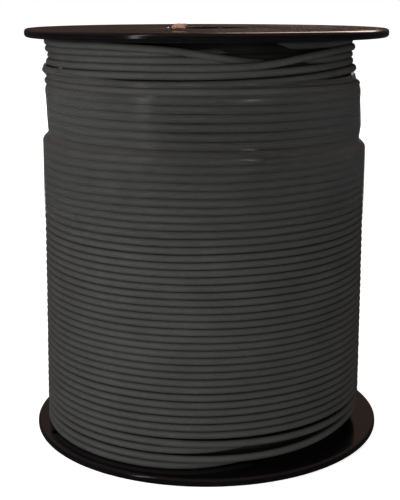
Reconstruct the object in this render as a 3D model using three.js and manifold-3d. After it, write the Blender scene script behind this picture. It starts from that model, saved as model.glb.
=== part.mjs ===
// A reel of insulated electrical wire that stands on one flange.
// Two moulded flanges plug into the ends of a tube barrel, the wire is wound in
// layers between them, and a band of clear stretch film holds the outer turns.
// Millimetres, +Z up, origin at the centre of the face that the reel stands on.
import * as THREE from 'three';
import { mergeVertices } from 'three/addons/utils/BufferGeometryUtils.js';
import Module from 'manifold-3d';

const wasm = await Module();
wasm.setup();

// Driving dimensions of the reel
const flangeDiameter = 165;
const flangeThickness = 3.8;
const flangeEdgeRound = 1.5;
const traverse = 180.8; // clear width between the two flanges
const barrelDiameter = 82;
const barrelWall = 3;
const arborDiameter = 38;
const spigotWall = 3; // ring on each flange that plugs into the barrel
const spigotDepth = 8;
const startHoleDiameter = 6.5; // the inner end of the wire comes out here
const startHoleSetOff = 0.35; // from the barrel's wall to the edge of the start hole
const finishSlotWidth = 5; // slot near the rim, for tying off the outer end
const finishSlotLength = 11;
const finishSlotInset = 3.5; // from the rim to the end of the slot

// Driving dimensions of the wire and its winding
const wireDiameter = 3.15;
const conductorDiameter = 1.85;
const layersAtFoot = 12;
const layerNesting = 0.9; // rise of one layer over the next, in wire diameters
const turnSpacing = 1.04; // from one turn to the next, in wire diameters
const grooveDepth = 1.1; // of the valley between two turns
const foldOverHeight = 135; // the last layer ends here, above the foot of the winding
const upperFoldHeight = 166; // the layer under it ends here
const packTaper = 0.9; // how much the radius shrinks from the foot to the top
const shoulderTurns = 2; // turns by which the outer layers sag from the top flange
const shoulderLayers = 1; // layers that each of those turns lies further in

// Driving dimensions of the film band
const filmThickness = 0.4;
const filmWidth = 68;
const filmBottomHeight = 97; // above the foot of the winding

// Driving dimensions of the short inner end of the wire on the top flange
const tailBendRadius = 4;
const tailStraight = 1.5;
const tailBareLength = 4;
const tailSetBack = 0.8; // the upright stretch stands this far behind the hole's middle

// Angles round the reel, in degrees from +X
const slotAngle = 120; // from the start hole to the finish slot, on the moulding
const footTurn = 84; // start hole of the lower flange
const topTurn = 108.8; // start hole of the upper flange, before it is turned over
const tailHeading = -50; // direction in which the short inner end points

// Clearances
const gap = 0.3; // between pieces that only lie near each other
const plugGap = 0.3; // between a spigot and the barrel's bore

// Smoothness
const roundSides = 72;
const windingSides = 48;
const filletSteps = 3;
const holeSides = 24;
const wireSides = 10;
const tailSteps = 14;

// Sizes worked out from the driving ones
const flangeRadius = flangeDiameter / 2;
const overallHeight = traverse + 2 * flangeThickness;
const barrelRadius = barrelDiameter / 2;
const barrelBoreRadius = barrelRadius - barrelWall;
const arborRadius = arborDiameter / 2;
const spigotRadius = barrelBoreRadius - plugGap;
const wireRadius = wireDiameter / 2;
const windingFoot = flangeThickness;
const windingTop = flangeThickness + traverse - gap;
const windingHeight = windingTop - windingFoot;
const turnCount = Math.round(windingHeight / (turnSpacing * wireDiameter));
const turnPitch = windingHeight / turnCount;
const startHoleRadius = startHoleDiameter / 2;
const startHolePlace = barrelRadius + startHoleSetOff + startHoleRadius;

const toRadians = THREE.MathUtils.degToRad;

// Radius over the outermost turns of a given number of layers, at a height
function layerRadius(layers, height) {
  const overBarrel = wireDiameter + (layers - 1) * layerNesting * wireDiameter;
  const shrink = packTaper * (height - windingFoot) / windingHeight;
  return barrelRadius + overBarrel - shrink;
}

// A closed outline of [radius, height] points, turned round the Z axis
function turned(outline, sides = roundSides) {
  const points = outline.map(([radius, height]) => new THREE.Vector2(radius, height));
  points.push(points[0].clone());
  const geometry = new THREE.LatheGeometry(points, sides);
  geometry.rotateX(Math.PI / 2);
  return geometry;
}

// Points of a quarter round from one angle to another, in degrees
function quarterRound(centreRadius, centreHeight, round, startAngle) {
  const points = [];
  for (let step = 0; step <= filletSteps; step += 1) {
    const angle = toRadians(startAngle + 90 * step / filletSteps);
    points.push([centreRadius + round * Math.cos(angle), centreHeight + round * Math.sin(angle)]);
  }
  return points;
}

// A geometry as a solid that can be cut
function toSolid(geometry) {
  const bare = geometry.clone();
  bare.deleteAttribute('normal');
  bare.deleteAttribute('uv');
  const merged = mergeVertices(bare);
  const mesh = new wasm.Mesh({
    numProp: 3,
    vertProperties: new Float32Array(merged.attributes.position.array),
    triVerts: new Uint32Array(merged.index.array),
  });
  return new wasm.Manifold(mesh);
}

// A cut solid back as a geometry
function toGeometry(solid) {
  const mesh = solid.getMesh();
  const geometry = new THREE.BufferGeometry();
  geometry.setAttribute('position', new THREE.BufferAttribute(mesh.vertProperties, 3));
  geometry.setIndex(new THREE.BufferAttribute(mesh.triVerts, 1));
  geometry.computeVertexNormals();
  return geometry;
}

function namedMesh(name, geometry, material) {
  const mesh = new THREE.Mesh(geometry, material);
  mesh.name = name;
  return mesh;
}

const materials = {
  flange: new THREE.MeshStandardMaterial({ color: 0x14100f, roughness: 0.2, metalness: 0 }),
  barrel: new THREE.MeshStandardMaterial({ color: 0x1c1a19, roughness: 0.6, metalness: 0 }),
  insulation: new THREE.MeshStandardMaterial({ color: 0x40403e, roughness: 0.45, metalness: 0 }),
  copper: new THREE.MeshStandardMaterial({ color: 0xb87345, roughness: 0.3, metalness: 1 }),
  film: new THREE.MeshStandardMaterial({
    color: 0xe8ecec,
    roughness: 0.15,
    metalness: 0,
    transparent: true,
    opacity: 0.25,
  }),
};

// One moulded flange, as it lies under the reel: a disc with an arbor bore and a
// rounded rim, and the spigot ring for the barrel on its inner face
function flangeGeometry() {
  const innerFace = flangeThickness;
  const rimCentre = flangeRadius - flangeEdgeRound;
  const disc = turned([
    [arborRadius, 0],
    ...quarterRound(rimCentre, flangeEdgeRound, flangeEdgeRound, -90),
    ...quarterRound(rimCentre, innerFace - flangeEdgeRound, flangeEdgeRound, 0),
    [spigotRadius, innerFace],
    [spigotRadius, innerFace + spigotDepth],
    [spigotRadius - spigotWall, innerFace + spigotDepth],
    [spigotRadius - spigotWall, innerFace],
    [arborRadius, innerFace],
  ]);
  return toGeometry(toSolid(disc).subtract(startHoleCutter()).subtract(finishSlotCutter()));
}

// Round hole beside the barrel
function startHoleCutter() {
  const cutter = new THREE.CylinderGeometry(
    startHoleRadius, startHoleRadius, 3 * flangeThickness, holeSides,
  );
  cutter.rotateX(Math.PI / 2);
  cutter.translate(startHolePlace, 0, flangeThickness / 2);
  return toSolid(cutter);
}

// Round-ended slot that points at the axis, near the rim
function finishSlotCutter() {
  const halfWidth = finishSlotWidth / 2;
  const outerCentre = flangeRadius - finishSlotInset - halfWidth;
  const innerCentre = outerCentre - (finishSlotLength - finishSlotWidth);
  const outline = new THREE.Shape();
  outline.absarc(outerCentre, 0, halfWidth, -Math.PI / 2, Math.PI / 2, false);
  outline.absarc(innerCentre, 0, halfWidth, Math.PI / 2, 3 * Math.PI / 2, false);
  const cutter = new THREE.ExtrudeGeometry(outline, {
    depth: 3 * flangeThickness,
    bevelEnabled: false,
    curveSegments: holeSides / 2,
  });
  cutter.translate(0, 0, -flangeThickness);
  cutter.rotateZ(toRadians(slotAngle));
  return toSolid(cutter);
}

// Plain tube between the two flanges
function barrelGeometry() {
  const foot = flangeThickness;
  const top = flangeThickness + traverse;
  return turned([
    [barrelBoreRadius, foot],
    [barrelRadius, foot],
    [barrelRadius, top],
    [barrelBoreRadius, top],
  ]);
}

// Heights at which an outer layer ends, from the foot upwards
const foldHeights = [windingFoot + foldOverHeight, windingFoot + upperFoldHeight];

// Number of layers wound at a height, without the sag at the top
function layersAt(height) {
  return layersAtFoot - foldHeights.filter((fold) => fold < height).length;
}

// The wound wire as one turned solid with its bore. Each turn of the outermost
// layer is a ridge, and the last turns lie further in, because they sag there.
function windingGeometry() {
  const bore = barrelRadius + gap;
  const ridges = [];
  for (let turn = 0; turn < turnCount; turn += 1) {
    const height = windingFoot + (turn + 0.5) * turnPitch;
    const sagging = Math.max(0, turn - (turnCount - 1 - shoulderTurns));
    const layers = layersAt(height) - shoulderLayers * sagging;
    ridges.push({ height, radius: layerRadius(layers, height) });
  }
  const outline = [[bore, windingFoot]];
  ridges.forEach((ridge, turn) => {
    const under = turn === 0 ? ridge : ridges[turn - 1];
    const valley = Math.min(ridge.radius, under.radius) - grooveDepth;
    outline.push([valley, ridge.height - turnPitch / 2]);
    outline.push([ridge.radius, ridge.height]);
  });
  outline.push([ridges[turnCount - 1].radius - grooveDepth, windingTop]);
  outline.push([bore, windingTop]);
  return turned(outline, windingSides);
}

// Outline of the film band at a distance from the turns under it, with a slope
// one turn tall at each height where a layer ends
function filmOutline(distance) {
  const foot = windingFoot + filmBottomHeight;
  const top = foot + filmWidth;
  let layers = layersAt(foot);
  const points = [[layerRadius(layers, foot) + distance, foot]];
  for (const fold of foldHeights) {
    const slopeTop = fold + turnPitch;
    if (fold > foot && slopeTop < top) {
      points.push([layerRadius(layers, fold) + distance, fold]);
      layers -= 1;
      points.push([layerRadius(layers, slopeTop) + distance, slopeTop]);
    }
  }
  points.push([layerRadius(layers, top) + distance, top]);
  return points;
}

// The film band, which follows the steps of the winding
function filmGeometry() {
  const inner = filmOutline(gap);
  const outer = filmOutline(gap + filmThickness);
  return turned([...outer, ...inner.reverse()]);
}

// Middle line of the inner end: up through the start hole, then bent over flat
function tailPath() {
  const heading = toRadians(tailHeading);
  const along = new THREE.Vector3(Math.cos(heading), Math.sin(heading), 0);
  const place = toRadians(-topTurn);
  const holeMiddle = new THREE.Vector3(Math.cos(place), Math.sin(place), 0);
  holeMiddle.multiplyScalar(startHolePlace);
  const lyingHeight = overallHeight + gap + wireRadius;
  const upright = holeMiddle.clone().addScaledVector(along, -tailSetBack);
  const bendStart = upright.clone().setZ(lyingHeight - tailBendRadius);
  const corner = upright.clone().setZ(lyingHeight);
  const bendEnd = corner.clone().addScaledVector(along, tailBendRadius);
  const cutEnd = bendEnd.clone().addScaledVector(along, tailStraight);
  const bareEnd = cutEnd.clone().addScaledVector(along, tailBareLength);
  upright.setZ(windingTop + gap);
  return { upright, bendStart, corner, bendEnd, cutEnd, bareEnd };
}

// A round section swept along a path
function sweptRound(path, diameter, steps) {
  const section = new THREE.Shape();
  for (let side = 0; side < wireSides; side += 1) {
    const angle = 2 * Math.PI * side / wireSides;
    const x = diameter / 2 * Math.cos(angle);
    const y = diameter / 2 * Math.sin(angle);
    if (side === 0) {
      section.moveTo(x, y);
    } else {
      section.lineTo(x, y);
    }
  }
  section.closePath();
  return new THREE.ExtrudeGeometry(section, { extrudePath: path, steps });
}

// Insulated stretch of the inner end
function tailGeometry() {
  const { upright, bendStart, corner, bendEnd, cutEnd } = tailPath();
  const roundness = 0.5523; // handle length that makes a cubic curve a quarter circle
  const path = new THREE.CurvePath();
  path.add(new THREE.LineCurve3(upright, bendStart));
  path.add(new THREE.CubicBezierCurve3(
    bendStart,
    bendStart.clone().lerp(corner, roundness),
    bendEnd.clone().lerp(corner, roundness),
    bendEnd,
  ));
  path.add(new THREE.LineCurve3(bendEnd, cutEnd));
  return sweptRound(path, wireDiameter, tailSteps);
}

// Bare copper that sticks out of the insulation
function bareTipGeometry() {
  const { cutEnd, bareEnd } = tailPath();
  return sweptRound(new THREE.LineCurve3(cutEnd, bareEnd), conductorDiameter, 1);
}

const reel = new THREE.Group();

const lowerFlange = namedMesh('bottom_flange', flangeGeometry(), materials.flange);
lowerFlange.rotation.z = toRadians(footTurn);
reel.add(lowerFlange);

// The upper flange is the same moulding, turned over
const upperEnd = new THREE.Group();
upperEnd.position.z = overallHeight;
upperEnd.rotation.x = Math.PI;
const upperFlange = namedMesh('top_flange', flangeGeometry(), materials.flange);
upperFlange.rotation.z = toRadians(topTurn);
upperEnd.add(upperFlange);
reel.add(upperEnd);

reel.add(namedMesh('barrel', barrelGeometry(), materials.barrel));
reel.add(namedMesh('wire_winding', windingGeometry(), materials.insulation));
reel.add(namedMesh('stretch_film', filmGeometry(), materials.film));
reel.add(namedMesh('wire_start_end', tailGeometry(), materials.insulation));
reel.add(namedMesh('copper_tip', bareTipGeometry(), materials.copper));

export default reel;
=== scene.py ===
# %% [markdown]
# # A full reel of insulated wire
#
# The real object is a reel of dark grey, vinyl-covered wire. Two glossy black
# flanges are plugged into a tube barrel, the wire is wound on it in layers, and a
# band of clear stretch film keeps the outer turns in place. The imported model
# already has each of these at its real size. Here every piece gets its final
# shape and finish: real turns instead of ridges, a creased film, and plastics
# that look moulded.

# %% Load the fixed frame
import math

import bpy
import numpy as np
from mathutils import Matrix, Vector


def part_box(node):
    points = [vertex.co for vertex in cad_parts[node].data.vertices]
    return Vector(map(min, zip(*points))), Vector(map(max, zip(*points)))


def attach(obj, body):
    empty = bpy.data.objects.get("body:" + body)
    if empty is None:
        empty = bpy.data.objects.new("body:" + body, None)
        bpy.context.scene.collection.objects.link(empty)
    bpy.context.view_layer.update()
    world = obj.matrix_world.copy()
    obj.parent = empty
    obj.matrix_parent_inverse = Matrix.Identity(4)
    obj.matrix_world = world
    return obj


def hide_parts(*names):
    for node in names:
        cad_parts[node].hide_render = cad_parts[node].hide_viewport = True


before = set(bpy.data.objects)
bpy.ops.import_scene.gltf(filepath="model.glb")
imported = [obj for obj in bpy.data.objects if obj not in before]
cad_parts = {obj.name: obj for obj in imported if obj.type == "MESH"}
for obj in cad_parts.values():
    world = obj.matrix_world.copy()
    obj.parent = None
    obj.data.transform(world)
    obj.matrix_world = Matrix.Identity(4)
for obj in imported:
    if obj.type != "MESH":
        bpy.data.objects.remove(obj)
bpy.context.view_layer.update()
MM = 0.001

top_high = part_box("top_flange")[1]
barrel_low, barrel_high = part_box("barrel")
pack_low, pack_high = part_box("wire_winding")
film_low, film_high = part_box("stretch_film")
print("nodes:", sorted(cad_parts))
print("reel height in mm:", round(top_high.z / MM, 1))

# %% [markdown]
# ## Camera
#
# The photo looks at the reel from a little above its top flange, from six flange
# radii away. The lens was worked out from how wide both flanges look. A camera
# can be tilted, or moved and kept level: this one is tilted down, because the
# lower flange shows a wider ellipse than the upper one.

# %% Set the camera
FLANGE_RADIUS = 82.5 * MM
CAMERA_DISTANCE = 6.0 * FLANGE_RADIUS
CAMERA_HEIGHT = 2.43 * FLANGE_RADIUS
CAMERA_PITCH = math.radians(13.25)
LENS_MM = 76.3
SIDE_SHIFT = -0.0132

camera_data = bpy.data.cameras.new("photo_camera")
camera_data.sensor_width = 36.0
camera_data.lens = LENS_MM
camera_data.shift_x = SIDE_SHIFT
camera = bpy.data.objects.new("photo_camera", camera_data)
camera.location = (0.0, -CAMERA_DISTANCE, CAMERA_HEIGHT)
camera.rotation_euler = (math.radians(90.0) - CAMERA_PITCH, 0.0, 0.0)
bpy.context.collection.objects.link(camera)
bpy.context.scene.camera = camera
print("camera height in mm:", round(CAMERA_HEIGHT / MM, 1))

# %% [markdown]
# ## Studio
#
# The reel stands on a plain white floor under a white sky, which gives the soft
# light of a product photo without any hard shadow. A sky that is white in every
# mirror would make black plastic look grey, so rays that come off a glossy
# surface see a darker room instead: nearly black in front, brown behind the reel
# and a paler brown above it. A few small helpers place shader nodes here and in
# every material further on.

# %% Helpers for shader nodes
WHITE = (1.0, 1.0, 1.0, 1.0)


def feed(tree, value, socket):
    """Puts a number or colour on a socket, or links another socket to it."""
    if isinstance(value, bpy.types.NodeSocket):
        tree.links.new(value, socket)
    else:
        socket.default_value = value


def add_node(tree, kind, **values):
    """Shader node with its inputs fed; an underscore stands for a space."""
    node = tree.nodes.new(kind)
    for label, value in values.items():
        feed(tree, value, node.inputs[label.replace("_", " ")])
    return node


def add_mix(tree, kind, share, first, second):
    """Mix of two colours (RGBA) or two numbers (FLOAT)."""
    node = tree.nodes.new("ShaderNodeMix")
    node.data_type = kind
    for label, value in (("Factor", share), ("A", first), ("B", second)):
        feed(tree, value, node.inputs[label])
    return node.outputs["Result"]


def add_range(tree, value, low, high, start=0.0, end=1.0):
    """Goes from start to end as a value rises from low to high."""
    limits = {"From_Min": low, "From_Max": high, "To_Min": start, "To_Max": end}
    return add_node(tree, "ShaderNodeMapRange", Value=value, **limits).outputs["Result"]


def add_math(tree, operation, *values):
    node = tree.nodes.new("ShaderNodeMath")
    node.operation = operation
    for place, value in enumerate(values):
        feed(tree, value, node.inputs[place])
    return node.outputs[0]


def new_material(name, **values):
    """Material with values on its own Principled shader."""
    material = bpy.data.materials.new(name)
    material.use_nodes = True
    shader = material.node_tree.nodes["Principled BSDF"]
    for label, value in values.items():
        shader.inputs[label.replace("_", " ")].default_value = value
    return material, material.node_tree, shader


print("node helpers ready")

# %% Floor
scene = bpy.context.scene
scene.view_settings.view_transform = "Standard"

FLOOR_SIZE = 60.0
FLOOR_SEEN = 0.93
FLOOR_BOUNCE = 0.92
FLOOR_MIRRORED = 0.05
FLOOR_GLOW = 0.78


def grey(level):
    return (level, level, level, 1.0)


def floor_material():
    """White to the eye, darker where a glossy surface mirrors it."""
    material, tree, shader = new_material(
        "studio_white", Roughness=0.9, Specular_IOR_Level=0.1, Emission_Color=WHITE
    )
    rays = tree.nodes.new("ShaderNodeLightPath")
    to_camera = rays.outputs["Is Camera Ray"]
    bounced = add_mix(
        tree, "RGBA", rays.outputs["Is Glossy Ray"], grey(FLOOR_BOUNCE), grey(FLOOR_MIRRORED)
    )
    seen = add_mix(tree, "RGBA", to_camera, bounced, grey(FLOOR_SEEN))
    tree.links.new(seen, shader.inputs["Base Color"])
    glow = add_math(tree, "MULTIPLY", to_camera, FLOOR_GLOW)
    tree.links.new(glow, shader.inputs["Emission Strength"])
    return material


bpy.ops.mesh.primitive_plane_add(size=FLOOR_SIZE, location=(0.0, 0.0, 0.0))
floor = bpy.context.object
floor.name = "studio_floor"
floor.data.materials.append(floor_material())
print("floor in metres:", FLOOR_SIZE)

# %% World
SKY_STRENGTH = 0.36
ROOM_FRONT = (0.010, 0.010, 0.018, 1.0)
ROOM_BACK = (0.052, 0.034, 0.027, 1.0)
ROOM_ABOVE = (0.19, 0.13, 0.11, 1.0)


def one_of_two(tree, ray_kind, otherwise, then):
    """One shader for rays of a kind and another for all the rest."""
    node = tree.nodes.new("ShaderNodeMixShader")
    for socket, value in zip(node.inputs, (ray_kind, otherwise, then)):
        tree.links.new(value, socket)
    return node.outputs[0]


def build_world():
    world = bpy.data.worlds.new("studio_world")
    world.use_nodes = True
    tree = world.node_tree
    tree.nodes.clear()
    output = tree.nodes.new("ShaderNodeOutputWorld")
    rays = tree.nodes.new("ShaderNodeLightPath")
    place = tree.nodes.new("ShaderNodeTexCoord")
    axes = add_node(tree, "ShaderNodeSeparateXYZ", Vector=place.outputs["Generated"])
    backwards = add_range(tree, axes.outputs["Y"], -0.2, 0.7)
    upwards = add_range(tree, axes.outputs["Z"], 0.12, 0.5)
    level_room = add_mix(tree, "RGBA", backwards, ROOM_FRONT, ROOM_BACK)
    room = add_mix(tree, "RGBA", upwards, level_room, ROOM_ABOVE)

    sky = add_node(tree, "ShaderNodeBackground", Color=WHITE, Strength=SKY_STRENGTH)
    mirrored = add_node(tree, "ShaderNodeBackground", Color=room)
    backdrop = add_node(tree, "ShaderNodeBackground", Color=WHITE)
    unseen = one_of_two(tree, rays.outputs["Is Glossy Ray"], sky.outputs[0], mirrored.outputs[0])
    whole = one_of_two(tree, rays.outputs["Is Camera Ray"], unseen, backdrop.outputs[0])
    tree.links.new(whole, output.inputs["Surface"])
    return world


scene.world = build_world()
print("world:", scene.world.name)

# %% [markdown]
# Three broad lights give the matt light: the strongest from the left, one from
# the front and one from behind. A tall narrow light makes the upright highlight
# on the film and the short one on each rim. Two more are seen by one piece each:
# the small one makes glints on the film, and the warm one behind the reel draws
# the thin line on the upper flange's edge.


# %% Lights
LOOK_AT_HEIGHT = 0.09


def soft_light(name, azimuth, distance, height, width, tall, power, colour, gloss=True, matt=True):
    """Area light that looks at the middle of the reel; azimuth is in degrees from
    the front, positive to the right. It can be kept out of gloss or of matt light."""
    data = bpy.data.lights.new(name, "AREA")
    data.shape = "RECTANGLE"
    data.size = width
    data.size_y = tall
    data.energy = power
    data.color = colour
    light = bpy.data.objects.new(name, data)
    angle = math.radians(azimuth)
    light.location = (distance * math.sin(angle), -distance * math.cos(angle), height)
    towards = -light.location.copy()
    towards.z += LOOK_AT_HEIGHT
    light.rotation_euler = towards.to_track_quat("-Z", "Y").to_euler()
    light.visible_glossy = gloss
    light.visible_diffuse = matt
    light.visible_camera = False
    bpy.context.collection.objects.link(light)
    return light


# after each name: azimuth, distance, height, width and tallness in metres, power, colour
soft_light("key_left", -42.0, 1.3, 0.45, 0.12, 1.6, 1.8, (1.0, 0.98, 0.95))
soft_light("broad_left", -66.0, 1.6, 0.32, 1.2, 0.6, 19.5, (1.0, 0.99, 0.97), gloss=False)
soft_light("broad_front", 8.0, 1.8, 0.30, 1.8, 0.6, 13.5, (1.0, 1.0, 1.0), gloss=False)
soft_light("broad_back", 178.0, 1.8, 0.35, 1.8, 0.6, 11.0, (1.0, 0.99, 0.98), gloss=False)
spark = soft_light("spark_right", 32.0, 1.5, 0.45, 0.08, 0.25, 2.2, (1.0, 0.98, 0.96), matt=False)
rim_glow = soft_light("rim_glow", 155.0, 1.3, 0.95, 1.1, 0.5, 10.0, (1.0, 0.78, 0.66), matt=False)

# %% [markdown]
# ## Shader groups that several finishes share
#
# Every plastic here has a fine grain, slow changes of tone and some handling
# dust. Each of these effects is built once as a node group with named inputs and
# outputs. A material then places the group with its own values and feeds the
# results to its own shader.


# %% A group for slow changes of tone and gloss
def object_noise(tree, **values):
    """Noise in the object's own metres."""
    place = tree.nodes.new("ShaderNodeTexCoord")
    noise = add_node(tree, "ShaderNodeTexNoise", Vector=place.outputs["Object"], **values)
    return noise.outputs["Fac"]


def new_group(name, inputs, outputs):
    """Empty shader node group; every input has a first value, every output a type."""
    group = bpy.data.node_groups.new(name, "ShaderNodeTree")
    for label, value in inputs.items():
        kind = "NodeSocketColor" if isinstance(value, tuple) else "NodeSocketFloat"
        socket = group.interface.new_socket(label, in_out="INPUT", socket_type=kind)
        socket.default_value = value
    for label, kind in outputs.items():
        group.interface.new_socket(label, in_out="OUTPUT", socket_type=kind)
    entry = group.nodes.new("NodeGroupInput")
    leave = group.nodes.new("NodeGroupOutput")
    return group, entry.outputs, leave.inputs


def build_tone_group():
    inputs = {
        "Light Tone": grey(0.1),
        "Dark Tone": grey(0.05),
        "Patch Scale": 20.0,
        "Gloss Low": 0.3,
        "Gloss High": 0.5,
    }
    outputs = {"Color": "NodeSocketColor", "Roughness": "NodeSocketFloat"}
    group, given, leave = new_group("tone_and_gloss", inputs, outputs)
    patches = object_noise(group, Scale=given["Patch Scale"], Detail=5.0, Roughness=0.6)
    spread = add_range(group, patches, 0.3, 0.7)
    tone = add_mix(group, "RGBA", spread, given["Dark Tone"], given["Light Tone"])
    gloss = add_mix(group, "FLOAT", spread, given["Gloss Low"], given["Gloss High"])
    group.links.new(tone, leave["Color"])
    group.links.new(gloss, leave["Roughness"])
    return group


TONE_GROUP = build_tone_group()
print("group outputs:", [s.name for s in TONE_GROUP.interface.items_tree if s.in_out == "OUTPUT"])

# %% [markdown]
# Fine grain is too small to model, so it is a height that feeds a Bump node. Two
# noises are enough: one for the pores of the plastic, one for long faint waves.


# %% A group for grain and one for dust
def build_grain_group():
    inputs = {"Grain Scale": 900.0, "Wave Scale": 60.0, "Wave Share": 0.3}
    group, given, leave = new_group("fine_grain", inputs, {"Height": "NodeSocketFloat"})
    grain = object_noise(group, Scale=given["Grain Scale"], Detail=3.0)
    waves = object_noise(group, Scale=given["Wave Scale"], Detail=2.0)
    height = add_mix(group, "FLOAT", given["Wave Share"], grain, waves)
    group.links.new(height, leave["Height"])
    return group


def build_dust_group():
    inputs = {
        "Clean Color": grey(0.05),
        "Dust Color": (0.35, 0.33, 0.30, 1.0),
        "Speck Scale": 700.0,
        "Amount": 0.1,
    }
    group, given, leave = new_group("handling_dust", inputs, {"Color": "NodeSocketColor"})
    specks = object_noise(group, Scale=given["Speck Scale"], Detail=6.0, Roughness=0.7)
    only_peaks = add_range(group, specks, 0.55, 0.8)
    share = add_math(group, "MULTIPLY", only_peaks, given["Amount"])
    dusty = add_mix(group, "RGBA", share, given["Clean Color"], given["Dust Color"])
    group.links.new(dusty, leave["Color"])
    return group


GRAIN_GROUP = build_grain_group()
DUST_GROUP = build_dust_group()
print("groups:", [g.name for g in bpy.data.node_groups])

# %% [markdown]
# ## Finishes
#
# A finish is one Principled shader. Its colour comes from the tone group and
# then the dust group, its roughness from the tone group, and its normal from the
# grain through a Bump node. Only the values differ from one finish to the next.


# %% One builder for plastics and copper
def place_group(tree, group, **values):
    node = tree.nodes.new("ShaderNodeGroup")
    node.node_tree = group
    for label, value in values.items():
        feed(tree, value, node.inputs[label.replace("_", " ")])
    return node


def place_tone(tree, shader, light, dark, patch, gloss):
    """Tone group with its roughness linked; gives the colour for more steps."""
    tone = place_group(
        tree,
        TONE_GROUP,
        Light_Tone=(*light, 1.0),
        Dark_Tone=(*dark, 1.0),
        Patch_Scale=patch,
        Gloss_Low=gloss[0],
        Gloss_High=gloss[1],
    )
    tree.links.new(tone.outputs["Roughness"], shader.inputs["Roughness"])
    return tone.outputs["Color"]


def place_bump(tree, shader, height, depth, strength=1.0):
    bump = add_node(tree, "ShaderNodeBump", Height=height, Distance=depth, Strength=strength)
    tree.links.new(bump.outputs["Normal"], shader.inputs["Normal"])


def finish(name, light, dark, gloss, patch, grain, wave, bump_mm, dust, shine, metal=0.0):
    material, tree, shader = new_material(
        name, IOR=1.5, Specular_IOR_Level=shine, Metallic=metal
    )
    clean = place_tone(tree, shader, light, dark, patch, gloss)
    dusting = place_group(tree, DUST_GROUP, Clean_Color=clean, Amount=dust)
    tree.links.new(dusting.outputs["Color"], shader.inputs["Base Color"])
    relief = place_group(tree, GRAIN_GROUP, Grain_Scale=grain, Wave_Scale=wave)
    place_bump(tree, shader, relief.outputs["Height"], bump_mm * MM)
    return material


print("builder for finishes ready")

# %% The plastics of this reel
flange_black = finish(
    "glossy_black_moulding",
    light=(0.0034, 0.0028, 0.0036),
    dark=(0.0020, 0.0017, 0.0024),
    gloss=(0.10, 0.20),
    patch=25.0,
    grain=1500.0,
    wave=45.0,
    bump_mm=0.02,
    dust=0.025,
    shine=0.5,
)
barrel_black = finish(
    "satin_black_tube",
    light=(0.020, 0.018, 0.017),
    dark=(0.011, 0.010, 0.010),
    gloss=(0.45, 0.60),
    patch=30.0,
    grain=700.0,
    wave=90.0,
    bump_mm=0.06,
    dust=0.15,
    shine=0.4,
)
vinyl_relief = {"patch": 55.0, "grain": 2200.0, "wave": 350.0, "bump_mm": 0.03}
wire_grey = finish(
    "grey_vinyl_insulation",
    light=(0.048, 0.048, 0.0465),
    dark=(0.039, 0.039, 0.0375),
    gloss=(0.46, 0.60),
    dust=0.10,
    shine=0.2,
    **vinyl_relief,
)
# darker copy of the grey vinyl: painted shade for the wire deep in the pack, where little light
# reaches
wire_painted_shade = finish(
    "grey_vinyl_painted_shade",
    light=(0.013, 0.013, 0.0125),
    dark=(0.008, 0.008, 0.0075),
    gloss=(0.55, 0.70),
    dust=0.02,
    shine=0.1,
    **vinyl_relief,
)
print("plastics:", [m.name for m in (flange_black, barrel_black, wire_grey, wire_painted_shade)])

# %% [markdown]
# ## Tools for turned and wound shapes
#
# Reels are round, so two mesh tools make almost everything. One turns an outline
# about the axis. The other sweeps a round section along a path that is given as
# an angle, a radius and a height, because that is how wire lies on a reel. Both
# write the vertices straight into a mesh, and the wire tool works them out with
# numpy, which is quicker and more exact than moving a curve object about.


# %% Tools for turned shapes
def to_object(name, points, faces, material, smooth=True):
    mesh = bpy.data.meshes.new(name)
    mesh.from_pydata([tuple(p) for p in points], [], faces)
    mesh.validate()
    mesh.update()
    mesh.materials.append(material)
    if smooth:
        mesh.polygons.foreach_set("use_smooth", [True] * len(mesh.polygons))
    piece = bpy.data.objects.new(name, mesh)
    bpy.context.collection.objects.link(piece)
    return piece


def grid_faces(rows, columns, close_rows, close_columns, flip=False):
    """Quads over a grid of points, row by row; a closed way wraps round."""
    faces = []
    for row in range(rows if close_rows else rows - 1):
        for column in range(columns if close_columns else columns - 1):
            a = row * columns + column
            b = row * columns + (column + 1) % columns
            c = ((row + 1) % rows) * columns + (column + 1) % columns
            d = ((row + 1) % rows) * columns + column
            faces.append((a, d, c, b) if flip else (a, b, c, d))
    return faces


def turned(name, outline, material, sides):
    """Closed outline of (radius, height), anticlockwise, turned about the axis."""
    points = []
    for step in range(sides):
        angle = 2.0 * math.pi * step / sides
        for radius, height in outline:
            points.append((radius * math.cos(angle), radius * math.sin(angle), height))
    faces = grid_faces(sides, len(outline), True, True, flip=True)
    return to_object(name, points, faces, material)


print("tools for turned shapes ready")


# %% Tools for wire
def tube(name, path, first, second, radius, sides, material, flip=False):
    """Round tube with flat ends; first and second are directions across its path."""
    around = 2.0 * math.pi * np.arange(sides) / sides
    points = (
        path[:, None, :]
        + radius * np.cos(around)[None, :, None] * first[:, None, :]
        + radius * np.sin(around)[None, :, None] * second[:, None, :]
    ).reshape(-1, 3)
    faces = grid_faces(len(path), sides, False, True, flip=flip)
    last = (len(path) - 1) * sides
    first_cap = tuple(range(sides))
    last_cap = tuple(last + side for side in range(sides))
    faces.append(first_cap if flip else first_cap[::-1])
    faces.append(last_cap[::-1] if flip else last_cap)
    return to_object(name, points, faces, material)


def wound(name, angle, radius, height, wire_radius, sides, material):
    """Round wire about the axis; angle, radius and height are arrays."""
    count = len(angle)
    out = np.stack([np.cos(angle), np.sin(angle), np.zeros(count)], axis=1)
    up = np.tile([0.0, 0.0, 1.0], (count, 1))
    path = out * radius[:, None] + up * height[:, None]
    flip = bool(angle[-1] > angle[0])
    return tube(name, path, out, up, wire_radius, sides, material, flip)


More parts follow.
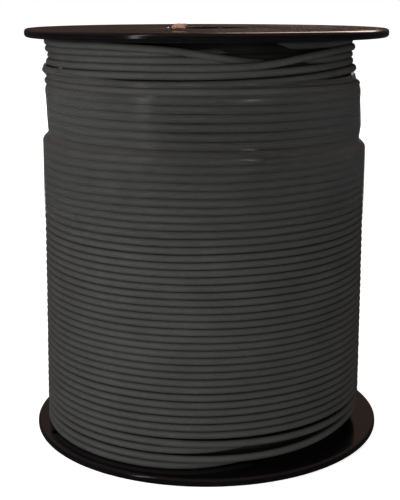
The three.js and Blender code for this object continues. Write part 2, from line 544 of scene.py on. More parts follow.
def smooth_noise(count, knots, seed):
    """Closed smooth noise of a given number of knots, between -1 and 1."""
    random = np.random.default_rng(seed)
    values = random.uniform(-1.0, 1.0, knots)
    place = np.arange(count) / count * knots
    low = np.floor(place).astype(int) % knots
    share = place - np.floor(place)
    share = share * share * (3.0 - 2.0 * share)
    return values[low] * (1.0 - share) + values[(low + 1) % knots] * share


print("tools for wire ready")

# %% [markdown]
# ## Flanges
#
# Each flange is one moulding: a disc with a rounded rim, a ring that plugs into
# the barrel, an arbor bore, a hole for the inner end of the wire and a slot near
# the rim. The outline is turned with many sides so that the gloss runs smoothly
# round the rim. The holes are cut with Boolean modifiers that are then applied,
# because modelling them into the turned grid by hand would pinch its shading.

# %% Flange sizes
FLANGE_THICK = 3.8 * MM
EDGE_ROUND = 1.5 * MM
ARBOR_RADIUS = 19.0 * MM
SPIGOT_RADIUS = 37.7 * MM
SPIGOT_WALL = 3.0 * MM
SPIGOT_DEPTH = 8.0 * MM
BORE_ROUND = 0.6 * MM
START_HOLE_RADIUS = 3.25 * MM
START_HOLE_PLACE = 44.6 * MM
SLOT_WIDTH = 5.0 * MM
SLOT_LENGTH = 11.0 * MM
SLOT_INSET = 3.5 * MM
SLOT_ANGLE = 120.0
BOTTOM_TURN = 84.0
TOP_TURN = 108.8
FLANGE_SIDES = 256
CUTTER_DEPTH = 50.0 * MM
top_flange_face = top_high.z


def arc(centre_radius, centre_height, round_radius, start, end, steps):
    """Points on part of a circle; start and end are in degrees."""
    points = []
    for step in range(steps + 1):
        angle = math.radians(start + (end - start) * step / steps)
        outwards = round_radius * math.cos(angle)
        upwards = round_radius * math.sin(angle)
        points.append((centre_radius + outwards, centre_height + upwards))
    return points


def flange_outline():
    """Section of the flange from its bore out to the rim and back over the spigot."""
    rim = FLANGE_RADIUS - EDGE_ROUND
    bore = ARBOR_RADIUS + BORE_ROUND
    outline = []
    outline += arc(bore, BORE_ROUND, BORE_ROUND, 180.0, 270.0, 4)
    outline.append((0.5 * FLANGE_RADIUS, 0.0))
    outline += arc(rim, EDGE_ROUND, EDGE_ROUND, -90.0, 0.0, 8)
    outline += arc(rim, FLANGE_THICK - EDGE_ROUND, EDGE_ROUND, 0.0, 90.0, 8)
    outline.append((SPIGOT_RADIUS, FLANGE_THICK))
    outline.append((SPIGOT_RADIUS, FLANGE_THICK + SPIGOT_DEPTH))
    outline.append((SPIGOT_RADIUS - SPIGOT_WALL, FLANGE_THICK + SPIGOT_DEPTH))
    outline.append((SPIGOT_RADIUS - SPIGOT_WALL, FLANGE_THICK))
    outline += arc(bore, FLANGE_THICK - BORE_ROUND, BORE_ROUND, 90.0, 180.0, 4)
    return outline


print("flange outline:", len(flange_outline()), "points")


# %% Cut the holes
def cutter_prism(name, corners, depth):
    """Upright prism over flat corners, used only to cut a hole."""
    count = len(corners)
    points = [(x, y, -depth) for x, y in corners]
    points += [(x, y, depth) for x, y in corners]
    faces = [tuple(range(count))[::-1], tuple(range(count, 2 * count))]
    for side in range(count):
        after = (side + 1) % count
        faces.append((side, after, after + count, side + count))
    return to_object(name, points, faces, flange_black, smooth=False)


def turned_by(x, y, degrees):
    """Turns a point, or arrays of points, about the axis."""
    turn = math.radians(degrees)
    return x * math.cos(turn) - y * math.sin(turn), x * math.sin(turn) + y * math.cos(turn)


def slot_corners(steps):
    half = SLOT_WIDTH / 2.0
    outer = FLANGE_RADIUS - SLOT_INSET - half
    inner = outer - (SLOT_LENGTH - SLOT_WIDTH)
    corners = arc(outer, 0.0, half, -90.0, 90.0, steps)
    corners += arc(inner, 0.0, half, 90.0, 270.0, steps)
    return [turned_by(x, y, SLOT_ANGLE) for x, y in corners]


def apply_modifiers(piece):
    depsgraph = bpy.context.evaluated_depsgraph_get()
    finished = bpy.data.meshes.new_from_object(piece.evaluated_get(depsgraph))
    piece.modifiers.clear()
    piece.data = finished


def shade_by_angle(piece, degrees):
    mesh = piece.data
    mesh.polygons.foreach_set("use_smooth", [True] * len(mesh.polygons))
    mesh.set_sharp_from_angle(angle=math.radians(degrees))


def moulded_flange(name):
    piece = turned(name, flange_outline(), flange_black, FLANGE_SIDES)
    start_hole = arc(START_HOLE_PLACE, 0.0, START_HOLE_RADIUS, 0.0, 360.0, 48)[:-1]
    cutters = [
        cutter_prism("start_hole", start_hole, CUTTER_DEPTH),
        cutter_prism("finish_slot", slot_corners(steps=20), CUTTER_DEPTH),
    ]
    for cutter in cutters:
        cut = piece.modifiers.new(cutter.name, "BOOLEAN")
        cut.operation = "DIFFERENCE"
        cut.solver = "EXACT"
        cut.object = cutter
    apply_modifiers(piece)
    for cutter in cutters:
        bpy.data.objects.remove(cutter)
    shade_by_angle(piece, degrees=35.0)
    return piece


def place_flange(piece, turn_degrees, upside_down):
    """Bakes the place of the flange into its mesh, so its object stays at the origin."""
    points = np.array([v.co for v in piece.data.vertices])
    x, y = turned_by(points[:, 0], points[:, 1], turn_degrees)
    z = points[:, 2]
    if upside_down:
        y = -y
        z = top_flange_face - z
    piece.data.vertices.foreach_set("co", np.stack([x, y, z], axis=1).ravel())
    piece.data.update()


print("slot outline:", len(slot_corners(steps=20)), "points")

# %% Make both flanges
lower = moulded_flange("lower_flange")
place_flange(lower, BOTTOM_TURN, False)
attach(lower, "root")
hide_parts("bottom_flange")

upper = moulded_flange("upper_flange")
place_flange(upper, TOP_TURN, True)
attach(upper, "root")
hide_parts("top_flange")
# the warm light behind the reel is seen in the upper flange's edge only
lit_by_glow = bpy.data.collections.new("lit_by_rim_glow")
lit_by_glow.objects.link(upper)
rim_glow.light_linking.receiver_collection = lit_by_glow
print("flange faces:", len(lower.data.polygons))
print("top face at mm:", round(top_flange_face / MM, 2))

# %% [markdown]
# ## Barrel
#
# The barrel is a plain tube. Only its inside can be seen, through the arbor
# bore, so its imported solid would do, but 72 flat sides catch the light there.
# A turned tube with more sides and small chamfers replaces it.

# %% Make the barrel
BARREL_RADIUS = barrel_high.x
BARREL_WALL = 3.0 * MM
BARREL_CHAMFER = 0.4 * MM


def barrel_outline():
    inner = BARREL_RADIUS - BARREL_WALL
    low, high = barrel_low.z, barrel_high.z
    step = BARREL_CHAMFER
    return [
        (inner + step, low),
        (BARREL_RADIUS - step, low),
        (BARREL_RADIUS, low + step),
        (BARREL_RADIUS, high - step),
        (BARREL_RADIUS - step, high),
        (inner + step, high),
        (inner, high - step),
        (inner, low + step),
    ]


barrel = turned("barrel_tube", barrel_outline(), barrel_black, sides=160)
shade_by_angle(barrel, degrees=40.0)
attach(barrel, "root")
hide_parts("barrel")
print("barrel radius in mm:", round(BARREL_RADIUS / MM, 2))

# %% [markdown]
# ## The wound wire
#
# On the real reel one wire lies in twelve layers of about 55 turns. Modelling all
# of it would cost millions of faces, and only the outermost turns can be seen. So
# the turns that show, and one layer behind them, are real round wire, and a
# ridged core fills the rest.
#
# Everything is written as an angle from the front, a height, and a distance that
# the wire lies inside its layer. A machine-wound turn follows the one under it,
# so its height is worked out from the turn below: one wire diameter, plus a small
# gap that opens and closes slowly. Turns then never cut into each other, however
# the gap varies.

# %% Sizes of the winding
WIRE_RADIUS = 1.575 * MM
TURN_TOUCH = 3.12 * MM
LAYER_RISE = 0.9 * 2.0 * WIRE_RADIUS
OUTER_LAYER = 12
PACK_TAPER = 0.9 * MM
STEPS = 120

pack_foot = pack_low.z
pack_top = pack_high.z
lowest_centre = pack_foot + WIRE_RADIUS + 0.03 * MM
highest_centre = top_high.z - FLANGE_THICK - WIRE_RADIUS - 0.05 * MM


def layer_centre(layer, height):
    """Radius of the wire's middle in a layer, counted from 1 at the barrel."""
    shrink = PACK_TAPER * (height - pack_foot) / (pack_top - pack_foot)
    return BARREL_RADIUS + WIRE_RADIUS + (layer - 1) * LAYER_RISE - shrink


def azimuth_of(turns):
    """Degrees from the front, positive to the right; whole turns start at the back."""
    return (turns % 1.0) * 360.0 - 180.0


def angle_of(turns):
    """Angle about the axis for the same count of turns."""
    return 2.0 * math.pi * turns - math.radians(270.0)


def hill(azimuth, middle, width):
    """Smooth hill of height 1 over part of the way round."""
    apart = (azimuth - middle + 180.0) % 360.0 - 180.0
    return np.exp(-0.5 * (apart / width) ** 2)


print("wire's middle can lie from", round(lowest_centre / MM, 2), "mm up")

# %% Fullness of the winding
# height in the pack, then extra radius at the left and at the right, in mm
LEAN_TABLE = [
    (5.0, 2.2, -1.5),
    (60.0, 1.5, -1.4),
    (130.0, 0.8, -1.4),
    (140.0, 0.8, -1.5),
    (145.0, 1.3, -0.9),
    (165.0, 2.2, -1.5),
    (168.0, 4.4, -1.2),
    (170.0, 6.2, -0.3),
    (172.0, 5.4, -0.6),
    (176.0, 3.6, -3.1),
    (179.0, 5.0, -0.6),
    (184.0, 5.6, -2.8),
]
LEAN_HEIGHTS, LEAN_LEFT, LEAN_RIGHT = np.array(LEAN_TABLE).T * MM
LEAN_SHARPNESS = 1.6


def lean(azimuth, height):
    """Extra radius of the whole pack, because this reel is wound fuller at its left."""
    side = np.sin(np.radians(azimuth))
    left = np.interp(height, LEAN_HEIGHTS, LEAN_LEFT)
    right = np.interp(height, LEAN_HEIGHTS, LEAN_RIGHT)
    to_left = np.clip(-side, 0.0, 1.0) ** LEAN_SHARPNESS
    to_right = np.clip(side, 0.0, 1.0) ** LEAN_SHARPNESS
    return left * to_left + right * to_right


def softened(values, reach):
    """Running average with a bell-shaped weight; the ends are kept."""
    weights = np.exp(-0.5 * (np.arange(-3 * reach, 3 * reach + 1) / reach) ** 2)
    weights = weights / weights.sum()
    wide = np.pad(values, 3 * reach, mode="edge")
    return np.convolve(wide, weights, mode="valid")


outer_foot_radius = layer_centre(OUTER_LAYER, pack_foot)


def wire_along(name, turns, radii, heights, sides=12):
    """Wire of the winding; turns count from the back of the reel."""
    return wound(name, angle_of(turns), radii, heights, WIRE_RADIUS, sides, wire_grey)


print("outer layer's middle at the foot, in mm:", round(outer_foot_radius / MM, 2))

# %% [markdown]
# Where the wire was laid by hand, at the foot and under the upper flange, its
# route is a short table: turn number, degrees from the front, height and depth in
# millimetres. The numbers come from looking at which turn passes over which. The
# table is joined up straight and then softened, as stiff wire would do.


# %% Routes from tables
def route(table, reach):
    """Turns, heights and depths along a hand-laid stretch of wire."""
    knots = np.array(table)
    place = knots[:, 0] + (knots[:, 1] + 180.0) / 360.0
    count = int(round((place[-1] - place[0]) * STEPS)) + 1
    turns = np.linspace(place[0], place[-1], count)
    heights = softened(np.interp(turns, place, knots[:, 2]), reach) * MM
    depths = softened(np.interp(turns, place, knots[:, 3]), reach) * MM
    return turns, np.clip(heights, lowest_centre, highest_centre), depths


FOOT_TABLE = [
    (0, -180, 5.4, -7.0), (0, -164, 5.4, -2.8), (0, -150, 5.4, -0.3), (0, -140, 5.4, 0.0),
    (0, -21, 5.4, 0.0), (0, -8, 5.4, -0.6), (0, 3, 5.5, -3.4), (0, 12, 5.7, -8.0),
    (0, 20, 5.9, -10.0), (0, 80, 6.4, -10.0), (0, 110, 7.0, -4.0), (0, 140, 7.8, -0.5),
    (1, -180, 8.5, 0.0), (1, -90, 8.7, 0.0), (1, -60, 8.8, 0.0), (1, -21, 8.9, 0.0),
    (1, 5, 9.1, 0.1), (1, 15, 9.2, 0.1), (1, 34, 9.75, 0.2), (1, 50, 11.0, 0.2),
    (1, 60, 12.2, 0.1), (1, 75, 12.6, 0.0), (1, 120, 12.5, -0.6),
    (2, -180, 12.3, -0.6), (2, -90, 12.6, 0.0), (2, -21, 12.7, 0.0), (2, -6, 12.7, -0.4),
    (2, 4, 12.7, -2.6), (2, 14, 12.7, -7.0), (2, 24, 12.8, -10.0), (2, 80, 13.8, -10.0),
    (2, 105, 14.6, -4.0), (2, 135, 15.4, -0.6),
    (3, -180, 15.8, 0.0), (3, -90, 16.1, 0.0), (3, -21, 16.2, 0.0), (3, 15, 15.9, 0.0),
    (3, 34, 15.6, 0.0), (3, 55, 15.6, 0.0), (3, 90, 16.6, 0.0), (3, 150, 18.5, 0.0),
    (4, -180, 19.3, 0.0),
]
foot_turns, foot_heights, foot_depths = route(FOOT_TABLE, reach=3)
print("hand-laid stretch at the foot:", len(foot_turns), "steps")

# %% [markdown]
# ## Outer layer
#
# The outer layer starts on the lower flange, where its wire comes up from inside
# at the back. It goes through the hand-laid stretch and then stacks up. It has a
# plain cut end at the front right, under the film, so its top is one turn higher
# in one place than in another. The room between turns was measured at several
# heights, and it varies slowly along the wire.

# %% Room between the turns
FREE_END = 40.56
# the same length in whole turns, which only sets how often the noise changes
OUTER_TURNS = 41
HAND_LAID_TURNS = 4
ROOM_HEIGHTS = np.array([16.0, 22.0, 30.0, 41.0, 54.0, 66.0, 91.0, 115.0, 125.0, 140.0]) * MM
ROOM_BETWEEN = np.array([0.30, 0.26, 0.20, 0.12, 0.05, 0.05, 0.07, 0.12, 0.24, 0.30]) * MM
# gaps that open over part of one way round: size, azimuth and width in degrees
FOOT_GAP = (1.35 * MM, 42.0, 36.0)
LEFT_GAP = (0.6 * MM, -90.0, 55.0)
LEFT_GAP_TURNS = 3
# size, waves round the reel, millimetres up for each radian, start
WOBBLE_WAVES = [(1.0, 2.0, 21.0, 0.0), (0.6, 5.0, -13.0, 1.3), (0.35, 9.0, 8.0, 0.4)]
WOBBLE_SIZE = 0.13 * MM
# the wobble fades in over four turns above the hand-laid stretch
WOBBLE_FROM = 5.0
WOBBLE_FADE = 4.0
HUMP_SIZE = 0.45 * MM
HUMP_HEIGHT = 124.0 * MM
HUMP_TALL = 11.0 * MM
UNEVEN_DEPTH = 0.06 * MM


def varied(count, knots, seed):
    """Positive factor with a mean near 1 that changes slowly along the wire."""
    quick = 0.5 + 0.5 * smooth_noise(count, knots, seed)
    slow = 0.5 + 0.5 * smooth_noise(count, max(4, knots // 3), seed + 1)
    return 0.35 + 1.3 * quick * (0.4 + 1.2 * slow)


def wobble(azimuth, height):
    """Slow waviness that neighbouring turns share."""
    turn = np.radians(azimuth)
    waves = 0.0
    for size, around, rise, start in WOBBLE_WAVES:
        waves += size * np.sin(around * turn + height / (rise * MM) + start)
    upright = np.exp(-0.5 * ((height - HUMP_HEIGHT) / HUMP_TALL) ** 2)
    return WOBBLE_SIZE * waves + HUMP_SIZE * hill(azimuth, -20.0, 16.0) * upright


def gap(azimuth, size, middle, width):
    return size * hill(azimuth, middle, width)


print("turns in the outer layer:", FREE_END)

# %% Stack the outer layer
count = int(FREE_END * STEPS)
outer_turns = np.arange(count) / STEPS
outer_heights = np.zeros(count)
outer_depths = np.zeros(count)
laid = HAND_LAID_TURNS * STEPS
outer_heights[:laid] = foot_heights[:laid]
outer_depths[:laid] = foot_depths[:laid]
room_factor = varied(count, int(OUTER_TURNS * 2.6), seed=11)
for step in range(laid, count):
    under = outer_heights[step - STEPS]
    room = np.interp(under, ROOM_HEIGHTS, ROOM_BETWEEN) * room_factor[step]
    if step < laid + STEPS:
        room += gap(azimuth_of(outer_turns[step]), *FOOT_GAP)
    if step > count - LEFT_GAP_TURNS * STEPS:
        room += gap(azimuth_of(outer_turns[step]), *LEFT_GAP)
    outer_heights[step] = under + TURN_TOUCH + room
ease_in = np.clip((outer_turns - WOBBLE_FROM) / WOBBLE_FADE, 0.0, 1.0)
outer_heights += wobble(azimuth_of(outer_turns), outer_heights) * ease_in
outer_radii = layer_centre(OUTER_LAYER, outer_heights) + outer_depths
outer_radii += UNEVEN_DEPTH * smooth_noise(count, OUTER_TURNS * 5, seed=29)
outer_radii += lean(azimuth_of(outer_turns), outer_heights)
outer_layer = wire_along("wire_outer_layer", outer_turns, outer_radii, outer_heights)
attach(outer_layer, "root")
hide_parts("wire_winding")
# the film needs to know how high the last turn lies all the way round
last_turn = slice(count - STEPS, count)
by_azimuth = np.argsort(azimuth_of(outer_turns[last_turn]))
top_azimuths = azimuth_of(outer_turns[last_turn])[by_azimuth]
top_heights = outer_heights[last_turn][by_azimuth]
print("outer layer ends at mm:", round(outer_heights[-1] / MM, 1))

# %% [markdown]
# ## The layer under it
#
# Its turns lean the other way, because the wire guide travelled back down. It
# shows above the end of the outer layer and, as dark wire, in the gaps at the
# foot. It is stacked downwards from its top turn.

# %% Stack the second layer
SECOND_STEPS = 96
SECOND_TURNS = 45
SECOND_FOOT = 20.5 * MM
SECOND_UNEVEN = 0.08 * MM
SECOND_ROOM_AT = np.array([16.0, 60.0, 110.0, 138.0, 150.0, 168.0]) * MM
SECOND_ROOM = np.array([0.10, 0.08, 0.12, 0.38, 0.42, 0.34]) * MM
TOP_TURN_KNOTS = np.array([0.0, 0.29, 0.5, 0.57, 0.622, 0.667, 0.8, 1.0])
TOP_TURN_HEIGHTS = np.array([166.4, 165.4, 164.4, 164.6, 164.9, 164.5, 163.6, 163.0]) * MM

second_count = SECOND_TURNS * SECOND_STEPS
second_turns = np.arange(second_count) / SECOND_STEPS
second_heights = np.zeros(second_count)
top_turn_heights = np.interp(second_turns[:SECOND_STEPS], TOP_TURN_KNOTS, TOP_TURN_HEIGHTS)
second_heights[:SECOND_STEPS] = softened(top_turn_heights, reach=3)
second_factor = varied(second_count, int(SECOND_TURNS * 2.4), seed=47)
for step in range(SECOND_STEPS, second_count):
    over = second_heights[step - SECOND_STEPS]
    room = np.interp(over, SECOND_ROOM_AT, SECOND_ROOM) * second_factor[step]
    second_heights[step] = over - TURN_TOUCH - room
keep = second_heights > SECOND_FOOT
second_heights = second_heights[keep]
second_turns = second_turns[keep]
second_heights += wobble(azimuth_of(second_turns), second_heights)
second_radii = layer_centre(OUTER_LAYER - 1, second_heights)
second_radii += SECOND_UNEVEN * smooth_noise(len(second_turns), SECOND_TURNS * 4, seed=53)
second_radii += lean(azimuth_of(second_turns), second_heights)
second_layer = wire_along("wire_second_layer", second_turns, second_radii, second_heights)
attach(second_layer, "root")
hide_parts("wire_winding")
second_ends = [round(height / MM, 1) for height in second_heights[[-1, 0]]]
print("second layer from and to mm:", second_ends)

# %% [markdown]
# ## The last turns under the upper flange
#
# These lie one layer further in. At the front right some turns sag and dive
# behind their neighbours, which leaves a black wedge under the flange. Two wires
# are enough: one comes up from the layer below and crosses over its neighbours,
# the other is the top turn, which comes out of the wedge and goes back into it.

# %% Routes of the last turns
UPPER_TABLE = [
    (0, -180, 160.6, 0.0), (0, 60, 163.0, 0.0), (0, 150, 164.2, 0.0),
    (1, -120, 164.6, 0.0), (1, -75, 164.4, -0.6), (1, 0, 164.2, -0.6), (1, 60, 165.6, -0.4),
    (1, 150, 166.8, 0.0),
    (2, -75, 167.4, 0.3), (2, -25, 167.2, 0.4), (2, 0, 167.4, 0.4), (2, 15, 168.0, 0.0),
    (2, 25, 168.2, -0.4), (2, 44, 169.6, -0.2), (2, 60, 170.8, 0.0), (2, 120, 171.0, 0.0),
    (3, -120, 170.8, 0.0), (3, -75, 170.6, 0.2), (3, -25, 170.9, 0.3), (3, 0, 171.0, 0.2),
    (3, 15, 171.6, 0.0), (3, 25, 172.1, -0.3), (3, 34, 172.7, -0.3), (3, 44, 173.0, 0.0),
    (3, 60, 174.0, 0.0), (3, 120, 174.4, 0.0),
    (4, -120, 174.1, 0.0), (4, -75, 173.8, 0.2), (4, -25, 174.0, 0.4), (4, 0, 174.0, 0.6),
    (4, 14, 174.3, 0.8), (4, 25, 175.5, 0.8), (4, 34, 177.3, 0.6), (4, 44, 178.7, 0.3),
    (4, 60, 180.2, 0.0), (4, 120, 180.3, 0.0),
    (5, -120, 179.8, 0.0), (5, -75, 179.6, 0.0), (5, -45, 179.6, -1.0), (5, -25, 179.5, -1.3),
    (5, -12, 179.5, -1.6), (5, -5, 179.6, -3.4), (5, 3, 180.0, -8.0), (5, 8, 180.0, -12.0),
    (5, 27, 178.4, -12.0), (5, 33, 177.2, -7.0), (5, 37, 176.4, -3.6), (5, 41, 175.9, -1.6),
    (5, 48, 175.9, -0.1), (5, 60, 177.0, 0.0), (5, 120, 177.1, 0.0),
    (6, -120, 176.8, 0.0), (6, -75, 176.7, 0.0), (6, -25, 176.9, 0.0), (6, 0, 177.1, 0.0),
    (6, 6, 176.6, -1.2), (6, 12, 175.4, -3.6), (6, 18, 174.6, -7.0), (6, 30, 174.4, -11.0),
]
TOP_TABLE = [
    (0, 14, 182.4, -13.5), (0, 27, 182.3, -11.5), (0, 35, 182.2, -8.6), (0, 43, 182.1, -5.0),
    (0, 50, 182.2, -2.2), (0, 56, 182.4, -0.6), (0, 60, 182.9, 0.0), (0, 120, 182.95, 0.0),
    (1, -75, 182.7, 0.0), (1, -55, 182.1, 0.0), (1, -42, 182.6, 0.1), (1, -31, 182.2, 0.2),
    (1, -12.5, 181.2, 0.3), (1, -5, 180.1, 0.3), (1, 0, 178.9, 0.2), (1, 6, 177.7, 0.0),
    (1, 12.5, 176.6, -0.7), (1, 16, 175.8, -2.2), (1, 21, 175.6, -6.0), (1, 28, 175.8, -11.0),
]


LAST_LAYER = OUTER_LAYER - 2


def hand_laid(name, table, seed):
    turns, heights, depths = route(table, reach=2)
    radii = layer_centre(LAST_LAYER, heights) + depths
    radii += UNEVEN_DEPTH * smooth_noise(len(turns), 24, seed)
    radii += softened(lean(azimuth_of(turns), heights), reach=4)
    piece = wire_along(name, turns, radii, heights, sides=14)
    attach(piece, "root")
    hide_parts("wire_winding")
    return piece


upper_turns = hand_laid("wire_upper_turns", UPPER_TABLE, seed=61)
top_turn = hand_laid("wire_top_turn", TOP_TABLE, seed=67)
print("last turns:", len(upper_turns.data.polygons) + len(top_turn.data.polygons), "faces")

# %% [markdown]
# ## Core of the winding
#
# All the wire further in is one turned body. It isn't plain: its side has a
# ridge for each turn and its two faces have a ridge for each layer, because they
# can be seen through the wedge, the start holes and the finish slots. Its grey
# is painted darker than the wire's: this is painted shade, because little light
# reaches the wire so deep inside.

# %% Turn the core
CORE_BORE = BARREL_RADIUS + 0.3 * MM
CORE_LAYER = 9
CORE_DRAWN_IN = 3
CORE_TURNS = 55
DRAWN_IN_HEIGHTS = (172.0 * MM, 183.0 * MM)
RIDGE_OUT = 0.3 * MM
RIDGE_STEPS = 4


def ridge(layer, height, start, end):
    """Part of one turn's round section, in a given layer."""
    radius = layer_centre(layer, height) + RIDGE_OUT
    return arc(radius, height, WIRE_RADIUS, start, end, RIDGE_STEPS)


def core_outline():
    """Layers over the lower face, turns up the side, layers back over the top."""
    outline = [(CORE_BORE, pack_foot + 2.0 * WIRE_RADIUS)]
    low = pack_foot + WIRE_RADIUS
    high = pack_top - WIRE_RADIUS
    for layer in range(1, CORE_LAYER + 1):
        outline += ridge(layer, low, 205.0, 335.0)
    for turn in range(CORE_TURNS):
        height = low + (high - low) * (turn + 0.5) / CORE_TURNS
        inwards = np.interp(height, DRAWN_IN_HEIGHTS, (0.0, CORE_DRAWN_IN))
        outline += ridge(CORE_LAYER - inwards, height, -60.0, 60.0)
    for layer in range(CORE_LAYER - CORE_DRAWN_IN, 0, -1):
        outline += ridge(layer, high, 25.0, 155.0)
    outline.append((CORE_BORE, pack_top - 2.0 * WIRE_RADIUS))
    return outline


core = turned("wire_core", core_outline(), wire_painted_shade, sides=96)
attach(core, "root")
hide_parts("wire_winding")
print("core faces:", len(core.data.polygons))

# %% [markdown]
# ## Clear film
#
# A band of stretch film holds the outer turns. It lies on the crests of the
# turns, so it is a smooth skin that only hints at them, and it bridges the step
# where the outer layer ends, which follows that layer's top turn all the way
# round. It is a very thin closed shell: an outer and an inner surface, joined at
# both edges. Tension pulls shallow creases into it. The film is nearly clear when
# seen squarely and paler at a grazing angle. It thins out towards its lower edge,
# because the photo shows no line there.

# %% Film material
THIN_EDGE = 30.0 * MM
THINNEST = 0.10
STREAK_STRETCH = (1.0, 1.0, 0.25)


def film_material():
    material, tree, shader = new_material("clear_stretch_film", IOR=1.5, Specular_IOR_Level=0.8)
    haze = place_tone(
        tree,
        shader,
        light=(0.074, 0.074, 0.073),
        dark=(0.056, 0.056, 0.055),
        patch=35.0,
        gloss=(0.16, 0.30),
    )
    tree.links.new(haze, shader.inputs["Base Color"])

    place = tree.nodes.new("ShaderNodeTexCoord").outputs["Object"]
    stretched = add_node(tree, "ShaderNodeMapping", Vector=place, Scale=STREAK_STRETCH)
    noise = add_node(
        tree, "ShaderNodeTexNoise", Vector=stretched.outputs["Vector"], Scale=160.0, Detail=4.0
    )
    streaks = noise.outputs["Fac"]
    cover = add_range(tree, streaks, 0.35, 0.75, start=0.12, end=0.24)
    grazing = add_node(tree, "ShaderNodeLayerWeight", Blend=0.20).outputs["Facing"]
    film_alpha = add_math(tree, "MULTIPLY_ADD", grazing, 0.80, cover)
    height = add_node(tree, "ShaderNodeSeparateXYZ", Vector=place).outputs["Z"]
    edge_top = film_low.z + THIN_EDGE
    wraps = add_range(tree, height, film_low.z, edge_top, start=THINNEST, end=1.0)
    seen = add_math(tree, "MULTIPLY", film_alpha, wraps)
    tree.links.new(seen, shader.inputs["Alpha"])
    place_bump(tree, shader, streaks, 0.15 * MM, strength=0.3)
    return material


clear_film = film_material()
print("film material:", clear_film.name)

# %% Film sizes and edge
FILM_AROUND = 300
FILM_UP = 110
FILM_THICK = 0.06 * MM
FILM_CLEAR = 0.20 * MM
# the film starts to draw in this far above the outer layer's top turn
STEP_FOOT = 1.2 * MM
STEP_TOP = 5.0 * MM
UPPER_STEP_FOOT = 161.0 * MM
FILM_RISE_LEFT = 4.5 * MM
FILM_EDGE_BELOW = 0.4 * MM
FILM_EDGE_RAGGED = 0.35 * MM
FILM_WAVES = 0.05 * MM
CREASES = 26


def film_edge(azimuths):
    """Height of the film's upper edge, which runs higher at the left."""
    rise = np.clip(-np.sin(np.radians(azimuths + 8.0)), 0.0, 1.0) ** 2
    ragged = FILM_EDGE_RAGGED * smooth_noise(len(azimuths), 23, seed=91)
    return film_high.z - FILM_EDGE_BELOW + FILM_RISE_LEFT * rise + ragged


def eased(values, low, high):
    """Goes smoothly from 0 to 1 as a value rises from low to high."""
    share = np.clip((values - low) / (high - low), 0.0, 1.0)
    return share * share * (3.0 - 2.0 * share)


print("film's upper edge near mm:", round((film_high.z - FILM_EDGE_BELOW) / MM, 1))


# %% Film surface
def film_creases(azimuth, height):
    """Shallow slanting ridges at random places; slant is in degrees for each metre."""
    creases = np.zeros_like(height)
    random = np.random.default_rng(83)
    for _ in range(CREASES):
        middle = random.uniform(-180.0, 180.0)
        level = random.uniform(film_low.z, film_high.z)
        slant = random.uniform(-900.0, 900.0)
        length = random.uniform(6.0, 16.0) * MM
        width = random.uniform(0.8, 2.2)
        size = random.uniform(0.05, 0.16) * MM
        along = np.exp(-0.5 * ((height - level) / length) ** 2)
        creases += size * along * hill(azimuth, middle + slant * (height - level), width)
    return creases


def film_surface():
    """Heights and radii of the film's inner side over a grid; rows go upwards."""
    azimuths = np.arange(FILM_AROUND) * 360.0 / FILM_AROUND - 180.0
    share = np.linspace(0.0, 1.0, FILM_UP)[:, None]
    heights = film_low.z + share * (film_edge(azimuths)[None, :] - film_low.z)
    grid_azimuth = np.broadcast_to(azimuths, heights.shape)
    crest = [layer_centre(layer, heights) + WIRE_RADIUS for layer in (10, 11, 12)]
    layer_top = np.interp(azimuths, top_azimuths, top_heights, period=360.0)
    layer_top = softened(np.tile(layer_top, 3), reach=5)[FILM_AROUND : 2 * FILM_AROUND]
    above = heights - layer_top[None, :]
    radii = crest[2] + (crest[1] - crest[2]) * eased(above, STEP_FOOT, STEP_TOP)
    radii += (crest[0] - crest[1]) * eased(heights, UPPER_STEP_FOOT, film_high.z)
    radii += lean(grid_azimuth, heights) + FILM_CLEAR
    turn = np.radians(grid_azimuth)
    waves = 0.5 + 0.5 * np.sin(7.0 * turn + heights / (9.0 * MM)) * np.sin(3.0 * turn + 1.0)
    radii += film_creases(grid_azimuth, heights) + FILM_WAVES * waves
    return heights, azimuths, radii


print("film grid:", FILM_UP, "rows of", FILM_AROUND)


# %% Make the film
def film_piece():
    """Closed shell: the outer grid, the inner grid turned inside out, and both edges."""
    heights, azimuths, inner = film_surface()
    angle = np.radians(azimuths - 90.0)
    points = []
    for offset in (FILM_THICK, 0.0):
        for row in range(FILM_UP):
            radius = inner[row] + offset
            flat = [radius * np.cos(angle), radius * np.sin(angle)]
            points.append(np.stack([*flat, heights[row]], axis=1))
    points = np.concatenate(points)
    half = FILM_UP * FILM_AROUND
    faces = grid_faces(FILM_UP, FILM_AROUND, False, True)
    faces += [tuple(half + corner for corner in reversed(face)) for face in faces]
    for row, flip in ((0, False), (FILM_UP - 1, True)):
        for column in range(FILM_AROUND):
            after = (column + 1) % FILM_AROUND
            a, b = row * FILM_AROUND + column, row * FILM_AROUND + after
            faces.append((a, b, b + half, a + half) if flip else (b, a, a + half, b + half))
    return to_object("film_band", points, faces, clear_film)


film = film_piece()
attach(film, "root")
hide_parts("stretch_film")
# the small light at the right makes glints on the film only
lit_by_spark = bpy.data.collections.new("lit_by_spark")
lit_by_spark.objects.link(film)
spark.light_linking.receiver_collection = lit_by_spark
print("film from", round(film_low.z / MM, 1), "to", round(film_high.z / MM, 1), "mm")

# %% [markdown]
# ## Inner end of the wire
#
# The end that the winder starts from comes up through the start hole, so that a
# user can test the wire without unwinding it. It is a short stub, bent over flat
# on the flange, with a few millimetres of its stranded copper bare. A sweep along
# a path makes the insulation, and the same sweep with a small sideways turn makes
# each twisted strand.


# %% Sweep along any path
def frame_along(path):
    """Directions along and across a path, without twist."""
    along = np.gradient(path, axis=0)
    along /= np.linalg.norm(along, axis=1)[:, None]
    first = np.zeros_like(path)
    steep = abs(along[0][2]) >= 0.9
    reference = np.array([1.0, 0.0, 0.0]) if steep else np.array([0.0, 0.0, 1.0])
    for step in range(len(path)):
        reference = reference - along[step] * np.dot(reference, along[step])
        reference /= np.linalg.norm(reference)
        first[step] = reference
    return first, np.cross(along, first)


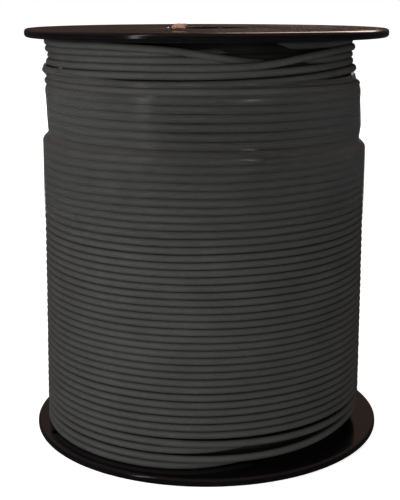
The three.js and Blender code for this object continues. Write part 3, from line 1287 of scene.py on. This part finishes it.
def swept(name, path, radius, sides, material):
    """Round tube along a path of points."""
    first, second = frame_along(path)
    return tube(name, path, first, second, radius, sides, material)


print("sweep ready")

# %% Make the inner end
TAIL_HEADING = math.radians(-50.0)
TAIL_BEND = 4.0 * MM
TAIL_STRAIGHT = 1.5 * MM
TAIL_BARE = 4.0 * MM
TAIL_SET_BACK = 0.8 * MM
TAIL_CLEAR = 0.3 * MM
CONDUCTOR_RADIUS = 0.925 * MM
STRAND_RADIUS = 0.30 * MM

heading = np.array([math.cos(TAIL_HEADING), math.sin(TAIL_HEADING), 0.0])
hole_turn = math.radians(-TOP_TURN)
hole = START_HOLE_PLACE * np.array([math.cos(hole_turn), math.sin(hole_turn), 0.0])
lying = top_flange_face + TAIL_CLEAR + WIRE_RADIUS
upright = hole - heading * TAIL_SET_BACK


def tail_path():
    """Middle line of the inner end, from inside the reel to the tip of the copper."""
    path = []
    foot = pack_top + TAIL_CLEAR
    for share in np.linspace(0.0, 1.0, 6):
        path.append(upright + np.array([0.0, 0.0, foot + share * (lying - TAIL_BEND - foot)]))
    for share in np.linspace(0.0, 1.0, 17)[1:]:
        angle = 0.5 * math.pi * share
        along = heading * TAIL_BEND * (1.0 - math.cos(angle))
        rise = lying - TAIL_BEND + TAIL_BEND * math.sin(angle)
        path.append(upright + along + np.array([0.0, 0.0, rise]))
    for share in np.linspace(0.0, 1.0, 8)[1:]:
        reach = TAIL_BEND + share * (TAIL_STRAIGHT + TAIL_BARE)
        path.append(upright + heading * reach + np.array([0.0, 0.0, lying]))
    return np.array(path)


INSULATED_STEPS = 15
whole_tail = tail_path()
insulated = whole_tail[:INSULATED_STEPS]
tail = swept("wire_inner_end", insulated, WIRE_RADIUS, sides=20, material=wire_grey)
shade_by_angle(tail, degrees=50.0)
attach(tail, "root")
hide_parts("wire_start_end")
print("inner end stands up to mm:", round((lying + WIRE_RADIUS) / MM, 2))

# %% [markdown]
# Copper strands are bright and a little pink. Each strand is its own tube that
# winds round the middle one. The finish is only partly metallic: its matt share
# is a painted sheen, bright pink under any light, which stands in for the
# reflections that pure metal would take from the dark room, where it would look
# black instead of pink.

# %% Twisted strands
# partly metallic copper; its bright matt share is painted sheen
bare_copper = finish(
    "bare_copper_strand",
    light=(0.95, 0.62, 0.46),
    dark=(0.80, 0.40, 0.26),
    gloss=(0.22, 0.42),
    patch=900.0,
    grain=4000.0,
    wave=900.0,
    bump_mm=0.01,
    dust=0.0,
    shine=0.5,
    metal=0.55,
)
# the strands start a little inside the insulation
copper_path = whole_tail[INSULATED_STEPS - 3 :]
first_way, second_way = frame_along(copper_path)
STRANDS = 7
HALF_TWIST = 0.5
STRAND_SPREAD = 0.25
strands = []
for strand in range(STRANDS):
    ring = 0.0 if strand == 0 else CONDUCTOR_RADIUS - STRAND_RADIUS
    # some strands are one step shorter, as hand-cut ends are
    steps = len(copper_path) - (strand % 3 == 1)
    share = np.arange(steps) / (len(copper_path) - 1)
    angle = 2.0 * math.pi * (strand / (STRANDS - 1.0) + HALF_TWIST * share)
    spread = ring * (1.0 + STRAND_SPREAD * share**2)
    path = copper_path[:steps] + first_way[:steps] * (spread * np.cos(angle))[:, None]
    path = path + second_way[:steps] * (spread * np.sin(angle))[:, None]
    strands.append(swept("copper_strand_%d" % strand, path, STRAND_RADIUS, 10, bare_copper))
for piece in strands:
    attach(piece, "root")
    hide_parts("copper_tip")
print("copper strands:", len(strands))
